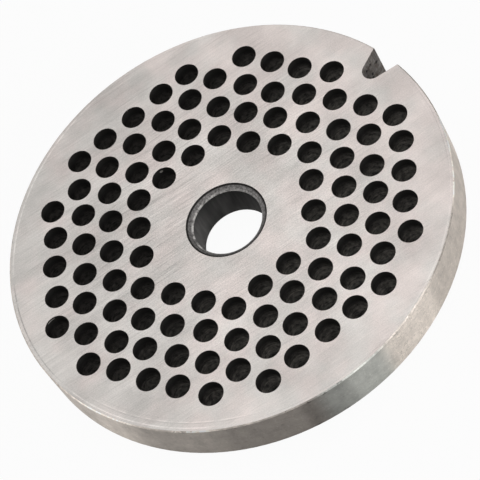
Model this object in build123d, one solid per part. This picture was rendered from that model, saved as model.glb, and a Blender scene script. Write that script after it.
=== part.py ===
from build123d import *
import os
from math import cos, hypot, radians, sin, tan
from random import Random

# A perforated plate for a meat grinder: one flat steel disc, bored in the middle for the
# stud of the feed screw, drilled all over with staggered holes that the meat is pressed
# through, and notched at the rim for the key that stops it turning in the grinder's head.
#
# Frame, in millimetres: the disc lies flat with its lower face on z = 0, the bore runs
# along Z through the origin, and the keyway opens towards +X.

# Disc
disc_diameter = 82.0
disc_thickness = 8.2
rim_edge_break = 0.2  # small bevel on both edges of the rim

# Bore, bevelled at both ends so that the plate can be turned over
bore_diameter = 12.7
bore_bevel_width = 1.15  # across the face, from the bore's wall outwards
bore_bevel_depth = 0.85  # down the bore

# Drilled holes, in straight rows with every other row moved half a step along
hole_diameter = 4.55
web_in_row = 1.70  # steel between two neighbours of one row
strip_between_rows = 0.68  # straight strip of steel between two rows
row_angle = -8.2  # direction of the rows, turned from the keyway's axis
hub_land = 4.4  # least plain steel between the bore's bevel and a hole
rim_land = 3.1  # least plain steel between a hole and the rim
keyway_land = 1.6  # least plain steel between a hole and the keyway

# The holes are drilled one at a time from a marked plate, so each centre wanders a little
# from its place in the row. The seeds repeat the same wander at every build.
wander_along_row = 0.40
wander_across_row = 0.27
seed_along_row = 15951728
seed_across_row = 15660042

# Keyway, a tapered notch with a round floor, open at the rim
keyway_depth = 5.55  # from the rim to the floor
keyway_floor_radius = 1.9
keyway_flank_angle = 17.5  # lean of each flank from the notch's own axis

# How far a cutting tool runs past the surface it breaks through
overrun = 1.0

# Sizes that follow from those above
disc_radius = disc_diameter / 2
bore_radius = bore_diameter / 2
bevel_radius = bore_radius + bore_bevel_width
hole_radius = hole_diameter / 2
hole_step = hole_diameter + web_in_row
row_step = hole_diameter + strip_between_rows
keyway_floor_x = disc_radius - keyway_depth + keyway_floor_radius  # centre of the round floor


def disc_blank():
    """The turned disc: half of its section, revolved once about the bore's axis."""
    section = Polyline(
        (bevel_radius, 0),
        (disc_radius - rim_edge_break, 0),
        (disc_radius, rim_edge_break),
        (disc_radius, disc_thickness - rim_edge_break),
        (disc_radius - rim_edge_break, disc_thickness),
        (bevel_radius, disc_thickness),
        (bore_radius, disc_thickness - bore_bevel_depth),
        (bore_radius, bore_bevel_depth),
        close=True,
    )
    return revolve(Plane.XZ * make_face(section), Axis.Z)


def through_cut(sketch):
    """A flat outline made into a cutter that runs past both faces of the disc."""
    return extrude(Pos(0, 0, -overrun) * sketch, disc_thickness + 2 * overrun)


def keyway():
    """The notch in plan: a round floor with two straight flanks that open towards the rim."""
    lean = radians(keyway_flank_angle)
    floor_end_x = keyway_floor_x - keyway_floor_radius * sin(lean)
    floor_end_y = keyway_floor_radius * cos(lean)
    mouth_x = disc_radius + overrun
    mouth_y = floor_end_y + (mouth_x - floor_end_x) * tan(lean)
    floor = ThreePointArc(
        (floor_end_x, floor_end_y),
        (keyway_floor_x - keyway_floor_radius, 0),
        (floor_end_x, -floor_end_y),
    )
    sides = Polyline(
        (floor_end_x, -floor_end_y),
        (mouth_x, -mouth_y),
        (mouth_x, mouth_y),
        (floor_end_x, floor_end_y),
    )
    return through_cut(make_face(floor + sides))


def is_drilled(x, y):
    """True where a hole leaves enough plain steel to the bore, to the rim and to the keyway."""
    centre_distance = hypot(x, y)
    nearest = bevel_radius + hub_land + hole_radius
    furthest = disc_radius - rim_land - hole_radius
    to_keyway = hypot(max(keyway_floor_x - x, 0), y)
    clear_of_keyway = to_keyway > keyway_floor_radius + keyway_land + hole_radius
    return nearest < centre_distance < furthest and clear_of_keyway


def turned_to_rows(along, across):
    """A place measured along and across the rows, as x and y of the disc."""
    turn = radians(row_angle)
    x = along * cos(turn) - across * sin(turn)
    y = along * sin(turn) + across * cos(turn)
    return x, y


def hole_centres():
    """Centres of the holes: each place of the staggered rows that has room, plus its wander."""
    along_wander = Random(seed_along_row)
    across_wander = Random(seed_across_row)
    last_row = int(disc_radius / row_step)
    last_step = int(disc_radius / hole_step) + 1
    centres = []
    for row in range(-last_row, last_row + 1):
        stagger = (row % 2) / 2
        for step in range(-last_step, last_step + 1):
            along = (step + stagger) * hole_step
            across = row * row_step
            if is_drilled(*turned_to_rows(along, across)):
                along += wander_along_row * along_wander.uniform(-1, 1)
                across += wander_across_row * across_wander.uniform(-1, 1)
                centres.append(turned_to_rows(along, across))
    return centres


def drilled_holes():
    """One straight cylinder for each hole."""
    circles = Sketch() + [Pos(x, y) * Circle(hole_radius) for x, y in hole_centres()]
    return through_cut(circles)


grinder_plate = disc_blank() - keyway() - drilled_holes()

os.makedirs("parts", exist_ok=True)
export_step(grinder_plate, "parts/grinder_plate.step")
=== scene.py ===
import math

import bpy
from mathutils import Matrix, Vector

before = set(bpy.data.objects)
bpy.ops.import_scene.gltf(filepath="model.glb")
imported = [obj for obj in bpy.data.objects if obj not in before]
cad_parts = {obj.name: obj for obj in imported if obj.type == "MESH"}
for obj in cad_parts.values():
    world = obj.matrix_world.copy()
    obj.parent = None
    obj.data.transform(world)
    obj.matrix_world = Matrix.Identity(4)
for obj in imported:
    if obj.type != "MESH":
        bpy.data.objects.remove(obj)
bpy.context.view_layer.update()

scene = bpy.context.scene
scene.view_settings.view_transform = "Standard"

# ------------------------------------------------------------------ the plate
# One disc of hardened tool steel, 82 mm across and 8.2 mm thick, turned, drilled and notched.
# Hardening left a dark scale all over it. The two faces and the rim were ground bright after
# that, while the bore, the drilled holes and the keyway still have the scale.

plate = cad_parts["grinder_plate"]

# Lengths in this section are in mm, and angles in degrees from the keyway's axis
RIM_RADIUS = 41.0
MID_HEIGHT = 4.1  # halfway between the two faces
BORE_RADIUS = 6.35
BEVEL_RADIUS = 7.5  # outer edge of the bore's bevel
KEYWAY_FROM_X = 35.2
KEYWAY_HALF_WIDTH = 3.6
GRINDING_ANGLE = -15.0  # direction of the grinding marks
MARGIN = 0.3  # how far from the rim or the bevel still counts as being at it
LIT_HOLE_HEIGHT = 3.8  # where painted light makes the walls of the drilled holes greyest

# Least part of the normal along Z on a face and on a slanted surface, and outwards on the rim
FLAT = 0.9
SLANTED = 0.4
FACING_OUT = 0.6

# Sides, as directions from the axis, on which the steel looks different. All but the first and
# third are sides of painted light, shade or reflection.
SCORED_SIDE = 115
SHADED_FACE_SIDE = 138
WARM_SIDE = -15
COOL_REFLECTION_SIDE = -101
LIT_HOLES_SIDE = -65
LIT_BORE_SIDE = 172
BEVEL_HIGHLIGHT_SIDE = 125

FACE_GREY, FACE_WARM_GREY = "#C4C0BC", "#CAC1BD"
RIM_WARM_GREY, RIM_REFLECTED_COOL_GREY = "#D8CFC6", "#D0D0CA"
BURNT_BLACK, HOLE_GREY, HOLE_LIT_SIDE_GREY = "#2A2826", "#726E6A", "#AFABA6"
BORE_GREY = "#484746"
BEVEL_GREY, BEVEL_BLACK, BEVEL_HIGHLIGHT = "#555352", "#262423", "#DAD7D3"
KEYWAY_BROWN, KEYWAY_GREY, PIT_BLACK = "#5F5750", "#86827F", "#262322"
BURR_GLINT = "#BDB8B2"


def linear(hex_colour):
    """An sRGB hex colour as linear RGBA."""
    channels = [int(hex_colour[i : i + 2], 16) / 255 for i in (1, 3, 5)]
    return [c / 12.92 if c <= 0.04045 else ((c + 0.055) / 1.055) ** 2.4 for c in channels] + [1.0]


def level(angle):
    """The level direction at an angle in degrees."""
    return (math.cos(math.radians(angle)), math.sin(math.radians(angle)), 0)


def add_node(tree, kind, settings=None, **inputs):
    """Adds one node. settings are the node's own, and inputs are its sockets by name, with _ for
    a space, or by number as i0. A node or an output is linked, and anything else is a value."""
    node = tree.nodes.new(kind)
    for name, value in (settings or {}).items():
        setattr(node, name, value)
    usable = [socket for socket in node.inputs if socket.enabled]
    for name, value in inputs.items():
        if name[0] == "i" and name[1:].isdigit():
            socket = usable[int(name[1:])]
        else:
            socket = next(s for s in usable if s.name == name.replace("_", " "))
        if isinstance(value, bpy.types.Node):
            value = next(s for s in value.outputs if s.enabled)
        if isinstance(value, bpy.types.NodeSocket):
            tree.links.new(value, socket)
        else:
            socket.default_value = value
    return node


# Hardened tool steel, surface ground: a pale, faintly warm grey sheen drawn out along fine
# straight marks, with a soft cloudy tone. Where the scale is left it is nearly black and matt.
steel = bpy.data.materials.new("surface_ground_tool_steel_with_hardening_scale")
steel.use_nodes = True
tree = steel.node_tree
tree.nodes.clear()

MATH, VECTOR_MATH, MAP = "ShaderNodeMath", "ShaderNodeVectorMath", "ShaderNodeMapRange"
MIX, NOISE, MAPPING = "ShaderNodeMix", "ShaderNodeTexNoise", "ShaderNodeMapping"
COMBINE = "ShaderNodeCombineXYZ"
ADD, SUBTRACT, TIMES = {"operation": "ADD"}, {"operation": "SUBTRACT"}, {"operation": "MULTIPLY"}
TIMES_AND_ADD, SCALED = {"operation": "MULTIPLY_ADD"}, {"operation": "SCALE"}
DOT, LENGTH = {"operation": "DOT_PRODUCT"}, {"operation": "LENGTH"}
MORE, LESS = {"operation": "GREATER_THAN"}, {"operation": "LESS_THAN"}
LARGER, SIZE = {"operation": "MAXIMUM"}, {"operation": "ABSOLUTE"}
SMOOTH, AS_TEXTURE = {"interpolation_type": "SMOOTHSTEP"}, {"vector_type": "TEXTURE"}
COLOURS, NUMBERS = {"data_type": "RGBA"}, {"data_type": "FLOAT"}

metres = add_node(tree, "ShaderNodeTexCoord").outputs["Object"]
place = add_node(tree, VECTOR_MATH, SCALED, Vector=metres, Scale=1000.0)  # in mm
in_plan = add_node(tree, VECTOR_MATH, TIMES, i0=place, i1=(1, 1, 0))
radius = add_node(tree, VECTOR_MATH, LENGTH, i0=in_plan).outputs["Value"]
outwards = add_node(tree, VECTOR_MATH, {"operation": "NORMALIZE"}, i0=in_plan)
parts = add_node(tree, "ShaderNodeSeparateXYZ", Vector=place)
x, y, z = (parts.outputs[axis] for axis in "XYZ")
surface_normal = add_node(tree, "ShaderNodeNewGeometry").outputs["True Normal"]
normal_z = add_node(tree, "ShaderNodeSeparateXYZ", Vector=surface_normal).outputs["Z"]
flatness = add_node(tree, MATH, SIZE, i0=normal_z)
facing_out = add_node(tree, VECTOR_MATH, DOT, i0=surface_normal, i1=outwards).outputs["Value"]

# Which surface it is: 1 there and 0 elsewhere
is_face = add_node(tree, MATH, MORE, i0=flatness, i1=FLAT)
is_face_or_slanted = add_node(tree, MATH, MORE, i0=flatness, i1=SLANTED)
is_slanted = add_node(tree, MATH, SUBTRACT, i0=is_face_or_slanted, i1=is_face)
at_rim = add_node(tree, MATH, MORE, i0=radius, i1=RIM_RADIUS - MARGIN)
faces_out = add_node(tree, MATH, MORE, i0=facing_out, i1=FACING_OUT)
is_rim = add_node(tree, MATH, TIMES, i0=at_rim, i1=faces_out)
is_edge_break = add_node(tree, MATH, TIMES, i0=is_rim, i1=is_slanted)
is_bright = add_node(tree, MATH, LARGER, i0=is_face, i1=is_rim)
is_bore = add_node(tree, MATH, LESS, i0=radius, i1=BEVEL_RADIUS + MARGIN)
is_bevel = add_node(tree, MATH, TIMES, i0=is_bore, i1=is_slanted)
off_axis = add_node(tree, MATH, SIZE, i0=y)
near_axis = add_node(tree, MATH, LESS, i0=off_axis, i1=KEYWAY_HALF_WIDTH)
far_out = add_node(tree, MATH, MORE, i0=x, i1=KEYWAY_FROM_X)
is_keyway = add_node(tree, MATH, TIMES, i0=far_out, i1=near_axis)

# Grinding marks. The real ones are 10 to 50 microns wide. They are drawn about 0.2 mm wide, as
# narrow as shows at this size, with broader passes of the wheel over them. Each pattern is noise
# with cells of length x width in mm, and its number only shifts it to another place.
WANDER = 1.6  # mm sideways, over some 20 mm of their length
turn = (0, 0, math.radians(GRINDING_ANGLE))
wander = add_node(tree, NOISE, Vector=place, Scale=0.05, Detail=1.0).outputs["Color"]
bent = add_node(tree, VECTOR_MATH, TIMES_AND_ADD, i0=wander, i1=(WANDER, WANDER, 0), i2=place)
marks = {}
for name, length, width, detail, number in (
    ("fine", 5.0, 0.20, 2.0, 0),
    ("lone", 5.0, 0.16, 0.0, 40),
    ("scores", 9.0, 0.26, 0.0, 120),
    ("passes", 30.0, 2.2, 2.0, 80),
):
    shift, cell = (0, 0, number), (length, width, 1)
    cells = add_node(
        tree, MAPPING, AS_TEXTURE, Vector=bent, Location=shift, Rotation=turn, Scale=cell
    )
    marks[name] = add_node(tree, NOISE, Vector=cells, Scale=1.0, Detail=detail, Roughness=0.6)

# Turning marks run round the rim 0.3 mm apart, drawn coarser than the lathe's 0.1 mm feed, and
# stains run down it. Each has cells of so many mm along the rim and up it.
for name, along, up, detail in (("turning", 10.0, 0.3, 2.0), ("stains", 1.7, 12.0, 2.0)):
    cells = add_node(tree, MAPPING, AS_TEXTURE, Vector=place, Scale=(along, along, up))
    marks[name] = add_node(tree, NOISE, Vector=cells, Scale=1.0, Detail=detail, Roughness=0.6)

# Patterns the same in all directions, in cells per mm. Grain is the grit of both surfaces, drawn
# 0.2 mm wide where the real grit is finer.
for name, per_mm, detail in (
    ("cloud", 0.10, 3.0),
    ("blotch", 0.45, 3.0),
    ("grain", 4.5, 1.0),
    ("speck", 2.4, 0.0),
):
    marks[name] = add_node(tree, NOISE, Vector=place, Scale=per_mm, Detail=detail, Roughness=0.6)
broken = add_node(tree, NOISE, Vector=place, Scale=0.8, Detail=2.0)
tints = add_node(tree, NOISE, Vector=place, Scale=0.16, Detail=2.0)
wrinkle = add_node(tree, NOISE, Vector=place, Scale=0.9, Detail=2.0, Roughness=0.6)
mottle = add_node(tree, NOISE, Vector=place, Scale=1.0, Detail=3.0, Roughness=0.7)
grit = add_node(tree, NOISE, Vector=place, Scale=2.6, Detail=2.0, Roughness=0.7)

# Tone of the face, about 1 on average. Each row adds to it: the pattern, two of its values, and
# the change at each. Its marks are deepest near the bore and softer towards the rim.
face_tone = 0.0
for name, least, most, low, high in (
    ("fine", 0.25, 0.75, -0.08, 0.08),
    ("grain", 0.25, 0.75, -0.19, 0.19),
    ("lone", 0.64, 0.76, 0.0, -0.14),
    ("lone", 0.34, 0.24, 0.0, 0.11),
):
    change = add_node(
        tree, MAP, Value=marks[name], From_Min=least, From_Max=most, To_Min=low, To_Max=high
    )
    face_tone = add_node(tree, MATH, ADD, i0=face_tone, i1=change)
sideways = add_node(tree, VECTOR_MATH, DOT, i0=in_plan, i1=level(SCORED_SIDE)).outputs["Value"]
scored = add_node(
    tree, MAP, SMOOTH, Value=sideways, From_Min=-10.0, From_Max=12.0, To_Min=0.25, To_Max=0.85
)
for least, most, change in ((0.62, 0.74, -0.15), (0.36, 0.26, 0.10)):
    score = add_node(tree, MAP, Value=marks["scores"], From_Min=least, From_Max=most, To_Max=change)
    face_tone = add_node(tree, MATH, TIMES_AND_ADD, i0=score, i1=scored, i2=face_tone)
softer = add_node(tree, MAP, Value=radius, From_Min=20.0, From_Max=38.0, To_Min=1.0, To_Max=0.5)
face_tone = add_node(tree, MATH, TIMES_AND_ADD, i0=face_tone, i1=softer, i2=1.0)
for name, least, most, change in (("passes", 0.25, 0.75, 0.04), ("cloud", 0.3, 0.7, 0.14)):
    change = add_node(
        tree, MAP, Value=marks[name], From_Min=least, From_Max=most, To_Min=-change, To_Max=change
    )
    face_tone = add_node(tree, MATH, ADD, i0=face_tone, i1=change)

# Tone of the rim, with rows of the same kind
rim_tone = 1.0
for name, least, most, low, high in (
    ("turning", 0.25, 0.75, -0.04, 0.04),
    ("stains", 0.3, 0.7, -0.06, 0.06),
    ("blotch", 0.3, 0.7, -0.12, 0.12),
    ("grain", 0.25, 0.75, -0.05, 0.05),
    ("speck", 0.70, 0.77, 0.0, 0.16),
    ("speck", 0.30, 0.24, 0.0, -0.12),
):
    change = add_node(
        tree, MAP, Value=marks[name], From_Min=least, From_Max=most, To_Min=low, To_Max=high
    )
    rim_tone = add_node(tree, MATH, ADD, i0=rim_tone, i1=change)

# Where a pass of the wheel burnished or scored the face, and in the rows at (0, 38) and (14, -36) a
# broad painted shade and a broad painted light: x, y, half length, half width and change
streaky = add_node(
    tree, MAP, Value=marks["passes"], From_Min=0.3, From_Max=0.7, To_Min=1.4, To_Max=0.6
)
for at_x, at_y, length, width, change in (
    (0.0, 38.0, 26.0, 5.0, -0.12),
    (-38.0, -14.0, 18.0, 8.0, -0.09),
    (14.0, -36.0, 26.0, 6.0, 0.05),
    (-14.6, 17.2, 16.0, 2.6, -0.09),
    (-1.7, 14.0, 10.0, 2.6, -0.13),
    (-25.8, 3.4, 8.0, 4.5, -0.06),
    (0.0, 10.4, 6.0, 2.6, -0.12),
    (-8.0, 7.6, 5.0, 2.8, 0.08),
    (0.0, 12.3, 6.0, 0.50, -0.20),
    (-6.0, 14.2, 6.5, 0.45, -0.20),
    (-3.0, 10.9, 7.0, 0.40, 0.14),
    (-12.0, 14.6, 4.0, 0.40, -0.15),
):
    middle, half_sizes = (at_x, at_y, 0), (length, width, 1)
    local = add_node(
        tree, MAPPING, AS_TEXTURE, Vector=in_plan, Location=middle, Rotation=turn, Scale=half_sizes
    )
    away = add_node(tree, VECTOR_MATH, LENGTH, i0=local).outputs["Value"]
    patch = add_node(
        tree, MAP, SMOOTH, Value=away, From_Min=1.0, From_Max=0.0, To_Min=0.0, To_Max=change
    )
    face_tone = add_node(tree, MATH, TIMES_AND_ADD, i0=patch, i1=streaky, i2=face_tone)

# Painted shade: the face is darker towards one side
sideways = add_node(tree, VECTOR_MATH, DOT, i0=in_plan, i1=level(SHADED_FACE_SIDE)).outputs["Value"]
painted_face_shade = add_node(
    tree, MAP, SMOOTH, Value=sideways, From_Min=-6.0, From_Max=38.0, To_Min=0.01, To_Max=-0.11
)
face_tone = add_node(tree, MATH, ADD, i0=face_tone, i1=painted_face_shade)

# Turned lines of a fine groove from the lathe, just inside the rim, drawn as painted highlight on
# some arcs and painted shade on others: radius, half width, middle and half span of the arc, and
# change. Each is broken up along its length.
gaps = add_node(tree, MAP, Value=broken, From_Min=0.35, From_Max=0.55, To_Min=0.4, To_Max=1.3)
for at_radius, width, middle, span, change in (
    (40.25, 0.20, -162, 34, 0.22),
    (40.22, 0.24, 114, 34, 0.24),
    (40.30, 0.16, -106, 22, -0.10),
    (40.30, 0.18, -26, 16, -0.13),
    (39.15, 0.15, -148, 26, 0.17),
    (39.42, 0.14, -148, 26, -0.13),
    (38.60, 0.12, -158, 14, -0.07),
    (40.20, 0.20, 162, 22, -0.34),
    (40.18, 0.20, 64, 24, -0.10),
    (39.75, 0.14, -24, 16, 0.04),
    (40.45, 0.20, -66, 20, 0.12),
    (40.40, 0.16, -36, 14, 0.10),
):
    off = add_node(tree, MATH, SUBTRACT, i0=radius, i1=at_radius)
    off = add_node(tree, MATH, SIZE, i0=off)
    line = add_node(tree, MAP, SMOOTH, Value=off, From_Min=width, From_Max=0.0)
    towards = add_node(tree, VECTOR_MATH, DOT, i0=outwards, i1=level(middle)).outputs["Value"]
    ends, full = math.cos(math.radians(span)), math.cos(math.radians(span / 2))
    arc = add_node(tree, MAP, SMOOTH, Value=towards, From_Min=ends, From_Max=full, To_Max=change)
    arc = add_node(tree, MATH, TIMES, i0=arc, i1=gaps)
    face_tone = add_node(tree, MATH, TIMES_AND_ADD, i0=line, i1=arc, i2=face_tone)

# Painted reflections and painted shade on the rim: lighter and darker stretches that stand in for
# the light falling on it, and last its pitted patch, lit by a painted highlight: middle of the arc,
# its half span, the half span over which it is full, and change
painted_rim_light = 1.0
for middle, span, full_span, change in (
    (-22, 12.0, 4.0, 0.36),
    (-178, 10.0, 5.0, -0.16),
    (-135, 27.0, 17.0, -0.33),
    (-120, 20.0, 8.0, -0.19),
    (-108, 8.0, 4.5, -0.30),
    (-96.5, 5.5, 3.5, -0.19),
    (-69.5, 4.5, 2.5, -0.10),
    (-81, 9.5, 7.5, 0.12),
):
    towards = add_node(tree, VECTOR_MATH, DOT, i0=outwards, i1=level(middle)).outputs["Value"]
    ends, full = math.cos(math.radians(span)), math.cos(math.radians(full_span))
    band = add_node(tree, MAP, SMOOTH, Value=towards, From_Min=ends, From_Max=full)
    painted_rim_light = add_node(tree, MATH, TIMES_AND_ADD, i0=band, i1=change, i2=painted_rim_light)
pitted_band = band
rim_tone = add_node(tree, MATH, TIMES, i0=rim_tone, i1=painted_rim_light)

# Wrinkles of the pitted patch lie where a noise passes through its middle value, 1 mm apart
PITTED_CHANGE = -0.36
crest = add_node(tree, MATH, SUBTRACT, i0=wrinkle, i1=0.5)
crest = add_node(tree, MATH, SIZE, i0=crest)
wrinkled = add_node(tree, MAP, SMOOTH, Value=crest, From_Min=0.035, From_Max=0.0)
in_blotches = add_node(tree, MAP, Value=marks["blotch"], From_Min=0.4, From_Max=0.6)
wrinkled = add_node(tree, MATH, TIMES, i0=wrinkled, i1=in_blotches)
pitted = add_node(tree, MATH, TIMES, i0=wrinkled, i1=pitted_band)
rim_tone = add_node(tree, MATH, TIMES_AND_ADD, i0=pitted, i1=PITTED_CHANGE, i2=rim_tone)

# Dark chips along both edges of the rim
off_middle = add_node(tree, MATH, SUBTRACT, i0=z, i1=MID_HEIGHT)
off_middle = add_node(tree, MATH, SIZE, i0=off_middle)
near_edge = add_node(tree, MAP, SMOOTH, Value=off_middle, From_Min=3.4, From_Max=3.9)
chipped = add_node(tree, MAP, SMOOTH, Value=broken, From_Min=0.60, From_Max=0.66, To_Max=-0.3)
rim_tone = add_node(tree, MATH, TIMES_AND_ADD, i0=near_edge, i1=chipped, i2=rim_tone)

# The edge break is worn bright in places, with painted highlights and painted shade along arcs of
# it: middle and half span of the arc, and the share added
edge_tone = add_node(
    tree, MAP, Value=broken, From_Min=0.42, From_Max=0.60, To_Min=0.70, To_Max=0.98
)
for middle, span, change in (
    (162, 34, 0.4),
    (-156, 24, 0.9),
    (-118, 30, 1.0),
    (-62, 14, -0.2),
    (-38, 16, 0.9),
):
    towards = add_node(tree, VECTOR_MATH, DOT, i0=outwards, i1=level(middle)).outputs["Value"]
    ends, full = math.cos(math.radians(span)), math.cos(math.radians(span / 2))
    arc = add_node(tree, MAP, SMOOTH, Value=towards, From_Min=ends, From_Max=full, To_Max=change)
    edge_tone = add_node(tree, MATH, TIMES_AND_ADD, i0=arc, i1=edge_tone, i2=edge_tone)
edge_wear_and_glints = add_node(tree, MIX, NUMBERS, Factor=is_edge_break, A=1.0, B=edge_tone)
rim_tone = add_node(tree, MATH, TIMES, i0=rim_tone, i1=edge_wear_and_glints)

# Colour of the ground steel: two greys that drift into each other on the face, warmer towards
# one side, and a warm grey on the rim with a painted cool reflection within 12 degrees of one side
WARMTH_PER_MM = 0.003
sideways = add_node(tree, VECTOR_MATH, DOT, i0=in_plan, i1=level(WARM_SIDE)).outputs["Value"]
tints = add_node(tree, MATH, TIMES_AND_ADD, i0=sideways, i1=WARMTH_PER_MM, i2=tints)
tinted = add_node(tree, MAP, SMOOTH, Value=tints, From_Min=0.3, From_Max=0.7)
face_colour = add_node(
    tree, MIX, COLOURS, Factor=tinted, A=linear(FACE_GREY), B=linear(FACE_WARM_GREY)
)
towards = add_node(tree, VECTOR_MATH, DOT, i0=outwards, i1=level(COOL_REFLECTION_SIDE)).outputs["Value"]
painted_cool_reflection = add_node(tree, MAP, SMOOTH, Value=towards, From_Min=0.978, From_Max=0.994)
rim_colour = add_node(
    tree, MIX, COLOURS, Factor=painted_cool_reflection, A=linear(RIM_WARM_GREY), B=linear(RIM_REFLECTED_COOL_GREY)
)
face_colour = add_node(tree, VECTOR_MATH, SCALED, Vector=face_colour, Scale=face_tone)
rim_colour = add_node(tree, VECTOR_MATH, SCALED, Vector=rim_colour, Scale=rim_tone)
ground = add_node(tree, MIX, COLOURS, Factor=is_rim, A=face_colour, B=rim_colour)

# Scale: iron oxide left by the hardening, matt and mottled. In the drilled holes it is burnt
# black near the faces, with painted light that makes it greyer halfway down and towards one side,
# and rings from the drill drawn 0.35 mm apart.
ring_cells = add_node(tree, MAPPING, AS_TEXTURE, Vector=place, Scale=(12, 12, 0.35))
rings = add_node(tree, NOISE, Vector=ring_cells, Scale=1.0, Detail=2.0)
painted_hole_light_depth = add_node(tree, MATH, SUBTRACT, i0=z, i1=LIT_HOLE_HEIGHT)
painted_hole_light_depth = add_node(tree, MATH, SIZE, i0=painted_hole_light_depth)
painted_hole_light_depth = add_node(tree, MAP, SMOOTH, Value=painted_hole_light_depth, From_Min=2.9, From_Max=0.5)
sideways = add_node(tree, VECTOR_MATH, DOT, i0=in_plan, i1=level(LIT_HOLES_SIDE))
sideways = sideways.outputs["Value"]
painted_hole_light_side = add_node(tree, MAP, SMOOTH, Value=sideways, From_Min=-26.0, From_Max=20.0)
hole_colour = add_node(
    tree, MIX, COLOURS, Factor=painted_hole_light_side, A=linear(HOLE_GREY), B=linear(HOLE_LIT_SIDE_GREY)
)
hole_tone = add_node(tree, MAP, Value=mottle, From_Min=0.35, From_Max=0.65, To_Min=0.35, To_Max=1.6)
ring_tone = add_node(tree, MAP, Value=rings, From_Min=0.35, From_Max=0.65, To_Min=0.75, To_Max=1.3)
hole_tone = add_node(tree, MATH, TIMES, i0=hole_tone, i1=ring_tone)
hole_colour = add_node(tree, VECTOR_MATH, SCALED, Vector=hole_colour, Scale=hole_tone)
scale_colour = add_node(tree, MIX, COLOURS, Factor=painted_hole_light_depth, A=linear(BURNT_BLACK), B=hole_colour)

# The wall of the bore is stained, with painted light that makes it greyer low down and on one side
stains_and_light = add_node(
    tree, MAP, Value=marks["stains"], From_Min=0.3, From_Max=0.7, To_Min=0.55, To_Max=1.5
)
painted_light_low_down = add_node(tree, MAP, Value=z, From_Min=7.4, From_Max=1.2, To_Min=0.5, To_Max=2.4)
towards = add_node(tree, VECTOR_MATH, DOT, i0=outwards, i1=level(LIT_BORE_SIDE))
towards = towards.outputs["Value"]
painted_bore_light = add_node(
    tree, MAP, SMOOTH, Value=towards, From_Min=0.2, From_Max=0.95, To_Min=1.0, To_Max=2.6
)
painted_light_low_down = add_node(tree, MATH, TIMES, i0=painted_light_low_down, i1=painted_bore_light)
stains_and_light = add_node(tree, MATH, TIMES, i0=stains_and_light, i1=painted_light_low_down)
bore_colour = add_node(tree, VECTOR_MATH, SCALED, Vector=linear(BORE_GREY)[:3], Scale=stains_and_light)

# Its bevel is gritty, with painted light that makes it paler on two sides, and rings from the tool
# 0.2 mm apart. Each row is a side, two values of the cosine of the angle from it, and the tone at
# each.
RINGS_PER_MM = 5.0
grit_and_light = add_node(tree, MAP, Value=grit, From_Min=0.32, From_Max=0.68, To_Min=0.45, To_Max=1.65)
for side, least, most, low, high in ((40, -1.0, 0.7, 1.3, 2.35), (-15, 0.4, 0.95, 1.0, 1.2)):
    towards = add_node(tree, VECTOR_MATH, DOT, i0=outwards, i1=level(side)).outputs["Value"]
    painted_bevel_light = add_node(
        tree, MAP, SMOOTH, Value=towards, From_Min=least, From_Max=most, To_Min=low, To_Max=high
    )
    grit_and_light = add_node(tree, MATH, TIMES, i0=grit_and_light, i1=painted_bevel_light)
ring_number = add_node(tree, MATH, TIMES, i0=radius, i1=RINGS_PER_MM)
ring_place = add_node(tree, COMBINE, X=ring_number)
ring_place = add_node(tree, VECTOR_MATH, TIMES_AND_ADD, i0=in_plan, i1=(0, 0.15, 0), i2=ring_place)
bevel_rings = add_node(tree, NOISE, Vector=ring_place, Scale=1.0, Detail=1.0)
bevel_rings = add_node(
    tree, MAP, Value=bevel_rings, From_Min=0.3, From_Max=0.7, To_Min=0.6, To_Max=1.4
)
grit_and_light = add_node(tree, MATH, TIMES, i0=grit_and_light, i1=bevel_rings)
bevel_colour = add_node(tree, VECTOR_MATH, SCALED, Vector=linear(BEVEL_GREY)[:3], Scale=grit_and_light)

# It is black along its outer edge, and a painted highlight runs along its inner one, strongest
# towards one side and broken up in places
BLACK_FROM, BLACK_FULL = BEVEL_RADIUS - 0.50, BEVEL_RADIUS - 0.20
BRIGHT_FULL, BRIGHT_TO = BORE_RADIUS + 0.24, BORE_RADIUS + 0.36
outer_edge = add_node(tree, MAP, SMOOTH, Value=radius, From_Min=BLACK_FROM, From_Max=BLACK_FULL)
bevel_colour = add_node(
    tree, MIX, COLOURS, Factor=outer_edge, A=bevel_colour, B=linear(BEVEL_BLACK)
)
inner_edge = add_node(tree, MAP, SMOOTH, Value=radius, From_Min=BRIGHT_TO, From_Max=BRIGHT_FULL)
towards = add_node(tree, VECTOR_MATH, DOT, i0=outwards, i1=level(BEVEL_HIGHLIGHT_SIDE))
towards = towards.outputs["Value"]
bevel_highlight_strength = add_node(
    tree, MAP, SMOOTH, Value=towards, From_Min=-0.1, From_Max=0.7, To_Min=0.30, To_Max=1.0
)
for pattern, least, most in ((grit, 0.25, 0.60), (broken, 0.36, 0.55)):
    left_over = add_node(tree, MAP, Value=pattern, From_Min=least, From_Max=most)
    bevel_highlight_strength = add_node(tree, MATH, TIMES, i0=bevel_highlight_strength, i1=left_over)
bevel_highlight = add_node(tree, MATH, TIMES, i0=bevel_highlight_strength, i1=inner_edge)
bevel_colour = add_node(tree, MIX, COLOURS, Factor=bevel_highlight, A=bevel_colour, B=linear(BEVEL_HIGHLIGHT))
bore_colour = add_node(tree, MIX, COLOURS, Factor=is_bevel, A=bore_colour, B=bevel_colour)
scale_colour = add_node(tree, MIX, COLOURS, Factor=is_bore, A=scale_colour, B=bore_colour)

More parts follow.
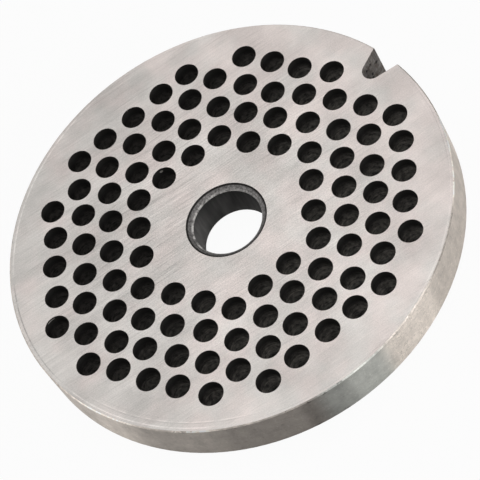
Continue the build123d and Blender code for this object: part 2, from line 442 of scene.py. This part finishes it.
# The keyway was filed through the scale, and is brown and pitted
rust = add_node(tree, MAP, Value=mottle, From_Min=0.34, From_Max=0.60)
keyway_colour = add_node(
    tree, MIX, COLOURS, Factor=rust, A=linear(KEYWAY_BROWN), B=linear(KEYWAY_GREY)
)
filed_cells = add_node(tree, MAPPING, AS_TEXTURE, Vector=place, Scale=(0.35, 0.35, 2.5))
filed = add_node(tree, NOISE, Vector=filed_cells, Scale=1.0, Detail=2.0)
filed_tone = add_node(tree, MAP, Value=filed, From_Min=0.3, From_Max=0.7, To_Min=0.65, To_Max=1.35)
small_pits = add_node(
    tree, MAP, SMOOTH, Value=grit, From_Min=0.40, From_Max=0.34, To_Min=1.0, To_Max=0.25
)
filed_tone = add_node(tree, MATH, TIMES, i0=filed_tone, i1=small_pits)
keyway_colour = add_node(tree, VECTOR_MATH, SCALED, Vector=keyway_colour, Scale=filed_tone)

# Its five deeper pits: x, y, z and half width
for at_x, at_y, at_z, width in (
    (39.87, 2.79, 5.13, 0.42),
    (37.99, 2.19, 4.25, 0.40),
    (37.11, 1.92, 6.42, 0.36),
    (37.70, 2.10, 3.40, 0.46),
    (38.40, 2.35, 6.50, 0.32),
):
    middle, half_sizes = (at_x, at_y, at_z), (width, width, width)
    local = add_node(tree, MAPPING, AS_TEXTURE, Vector=place, Location=middle, Scale=half_sizes)
    away = add_node(tree, VECTOR_MATH, LENGTH, i0=local).outputs["Value"]
    pit = add_node(tree, MAP, SMOOTH, Value=away, From_Min=1.0, From_Max=0.5)
    keyway_colour = add_node(tree, MIX, COLOURS, Factor=pit, A=keyway_colour, B=linear(PIT_BLACK))
scale_colour = add_node(tree, MIX, COLOURS, Factor=is_keyway, A=scale_colour, B=keyway_colour)

# Painted glints on two burrs at the lips of holes: x, y, z, half width and half height
for at_x, at_y, at_z, width, height in (
    (-0.1, 18.3, 7.35, 0.38, 0.32),
    (-33.3, 12.2, 7.72, 0.95, 0.13),
):
    middle, half_sizes = (at_x, at_y, at_z), (width, width, height)
    local = add_node(tree, MAPPING, AS_TEXTURE, Vector=place, Location=middle, Scale=half_sizes)
    away = add_node(tree, VECTOR_MATH, LENGTH, i0=local).outputs["Value"]
    burr_glint = add_node(tree, MAP, SMOOTH, Value=away, From_Min=1.0, From_Max=0.7)
    scale_colour = add_node(tree, MIX, COLOURS, Factor=burr_glint, A=scale_colour, B=linear(BURR_GLINT))

colour = add_node(tree, MIX, COLOURS, Factor=is_bright, A=scale_colour, B=ground)

# The sheen is drawn out across the marks it comes from, so the tangent lies across them
upright = add_node(tree, COMBINE, X=0.0, Y=0.0, Z=1.0)
across_x, across_y, across_z = level(GRINDING_ANGLE + 90)
over_marks = add_node(tree, COMBINE, X=across_x, Y=across_y, Z=across_z)
sheen_drawn = add_node(tree, MIX, {"data_type": "VECTOR"}, Factor=is_face, A=upright, B=over_marks)

SCALE_ROUGHNESS, GROUND_ROUGHNESS = 0.6, 0.42
roughness = add_node(tree, MIX, NUMBERS, Factor=is_bright, A=SCALE_ROUGHNESS, B=GROUND_ROUGHNESS)

# Relief in units of 10 microns, at half strength: about 5 microns on ground steel, 15 in the
# wrinkles of the pitted patch and up to 40 on scale
RELIEF_UNIT = 0.00001  # metres
PITTED_RELIEF, MOTTLE_RELIEF, GRIT_RELIEF = -3.0, 6.0, 2.0
ground_relief = add_node(tree, MIX, NUMBERS, Factor=is_rim, A=marks["fine"], B=marks["turning"])
ground_relief = add_node(tree, MATH, TIMES_AND_ADD, i0=pitted, i1=PITTED_RELIEF, i2=ground_relief)
scale_relief = add_node(tree, MATH, TIMES, i0=grit, i1=GRIT_RELIEF)
scale_relief = add_node(tree, MATH, TIMES_AND_ADD, i0=mottle, i1=MOTTLE_RELIEF, i2=scale_relief)
relief_height = add_node(tree, MIX, NUMBERS, Factor=is_bright, A=scale_relief, B=ground_relief)
relief = add_node(tree, "ShaderNodeBump", Height=relief_height, Distance=RELIEF_UNIT, Strength=0.5)

bsdf = add_node(
    tree,
    "ShaderNodeBsdfPrincipled",
    Base_Color=colour,
    Metallic=is_bright,
    Roughness=roughness,
    Specular_IOR_Level=0.15,
    Anisotropic=0.9,
    Normal=relief,
    Tangent=sheen_drawn,
)
add_node(tree, "ShaderNodeOutputMaterial", Surface=bsdf)
plate.material_slots[0].material = steel

# ------------------------------------------------------------------ floor, lamps and world
# Matt white paper under the plate, in a dim room with soft lamps. The camera sees the room and
# most of the paper as plain white, and so in part do mirrors, so that metal shows that white
# too. What is left of the paper takes the light and keeps the shadow of the plate.

FLOOR_HALF = 2.0
FLOOR_HEIGHT = -0.00002
PAPER_COLOUR = "#DADADA"
PAPER_SHARE = 0.95  # how much of the paper is shown as plain white
GLOSSY_SHARE = 0.35  # how much of the white is seen in mirrors
ROOM_STRENGTH = 0.08
LAMP_DISTANCE = 1.2
WHITE = (1, 1, 1, 1)

floor_mesh = bpy.data.meshes.new("floor")
corners = [(-1, -1), (1, -1), (1, 1), (-1, 1)]
floor_mesh.from_pydata(
    [(u * FLOOR_HALF, v * FLOOR_HALF, FLOOR_HEIGHT) for u, v in corners], [], [(0, 1, 2, 3)]
)
floor = bpy.data.objects.new("floor", floor_mesh)
scene.collection.objects.link(floor)

paper = bpy.data.materials.new("matt_white_paper")
floor_mesh.materials.append(paper)
world = bpy.data.worlds.new("studio")
scene.world = world

shown_white = {}
for owner in (paper, world):
    owner.use_nodes = True
    tree = owner.node_tree
    tree.nodes.clear()
    rays = add_node(tree, "ShaderNodeLightPath").outputs
    seen = add_node(tree, MATH, LARGER, i0=rays["Is Camera Ray"], i1=rays["Is Transmission Ray"])
    mirrored = add_node(tree, MATH, TIMES, i0=rays["Is Glossy Ray"], i1=GLOSSY_SHARE)
    shown_white[owner.name] = add_node(tree, MATH, LARGER, i0=seen, i1=mirrored)

tree = paper.node_tree
share = add_node(tree, MATH, TIMES, i0=shown_white[paper.name], i1=PAPER_SHARE)
white = add_node(tree, "ShaderNodeEmission", Color=WHITE, Strength=1.0)
matt = add_node(tree, "ShaderNodeBsdfDiffuse", Color=linear(PAPER_COLOUR))
shown = add_node(tree, "ShaderNodeMixShader", i0=share, i1=matt, i2=white)
add_node(tree, "ShaderNodeOutputMaterial", Surface=shown)

tree = world.node_tree
backdrop = add_node(tree, "ShaderNodeBackground", Color=WHITE, Strength=1.0)
room = add_node(tree, "ShaderNodeBackground", Color=WHITE, Strength=ROOM_STRENGTH)
shown = add_node(tree, "ShaderNodeMixShader", i0=shown_white[world.name], i1=room, i2=backdrop)
add_node(tree, "ShaderNodeOutputWorld", Surface=shown)

# Rectangular lamps that face the plate: azimuth and elevation in degrees, width, height, radiance
# and colour. The power is radiance x pi x area, so that a mirror would show a lamp that bright.
for name, azimuth, elevation, width, height, radiance, tint in (
    ("overhead_softbox", 75, 84, 1.0, 1.0, 2.0, "#FFFFFF"),
    ("rear_softbox", 115, 45, 0.8, 0.6, 0.92, "#FFFFFF"),
    ("right_softbox", -20, 15, 0.9, 0.6, 1.02, "#FFFFFF"),
    ("strip_light", -63, 15, 0.70, 0.6, 3.13, "#FFFFFF"),
    ("cool_card", -92, 15, 0.36, 0.6, 1.92, "#FAFFFD"),
    ("left_softbox", 156, 15, 0.7, 0.6, 0.94, "#FFFFFF"),
):
    a, e = math.radians(azimuth), math.radians(elevation)
    towards = Vector((math.cos(a) * math.cos(e), math.sin(a) * math.cos(e), math.sin(e)))
    lamp = bpy.data.lights.new(name, "AREA")
    lamp.shape = "RECTANGLE"
    lamp.size, lamp.size_y = width, height
    lamp.energy = radiance * math.pi * width * height
    lamp.color = linear(tint)[:3]
    holder = bpy.data.objects.new(name, lamp)
    holder.location = towards * LAMP_DISTANCE
    holder.rotation_euler = towards.to_track_quat("Z", "Y").to_euler()
    holder.visible_camera = False
    scene.collection.objects.link(holder)

# ------------------------------------------------------------------ the camera
# It looks down on the upper face through a long lens, nearly half a metre away, and is rolled so
# that the keyway comes out at the upper right and the rim shows along the bottom.

AIM = Vector((-0.00134, -0.00517, 0.0082))
DISTANCE = 0.44566
AZIMUTH = -105.083
ELEVATION = 53.396
ROLL = -33.605
FOCAL_LENGTH = 193.46  # mm, as the sensor's width
SENSOR_WIDTH = 36.0
CLIP_START = 0.01

camera_data = bpy.data.cameras.new("camera")
camera_data.sensor_width = SENSOR_WIDTH
camera_data.lens = FOCAL_LENGTH
camera_data.clip_start = CLIP_START
camera = bpy.data.objects.new("camera", camera_data)
a, e = math.radians(AZIMUTH), math.radians(ELEVATION)
towards = Vector((math.cos(a) * math.cos(e), math.sin(a) * math.cos(e), math.sin(e)))
camera.matrix_world = (
    Matrix.Translation(AIM + towards * DISTANCE)
    @ towards.to_track_quat("Z", "Y").to_matrix().to_4x4()
    @ Matrix.Rotation(math.radians(ROLL), 4, "Z")
)
scene.collection.objects.link(camera)
scene.camera = camera
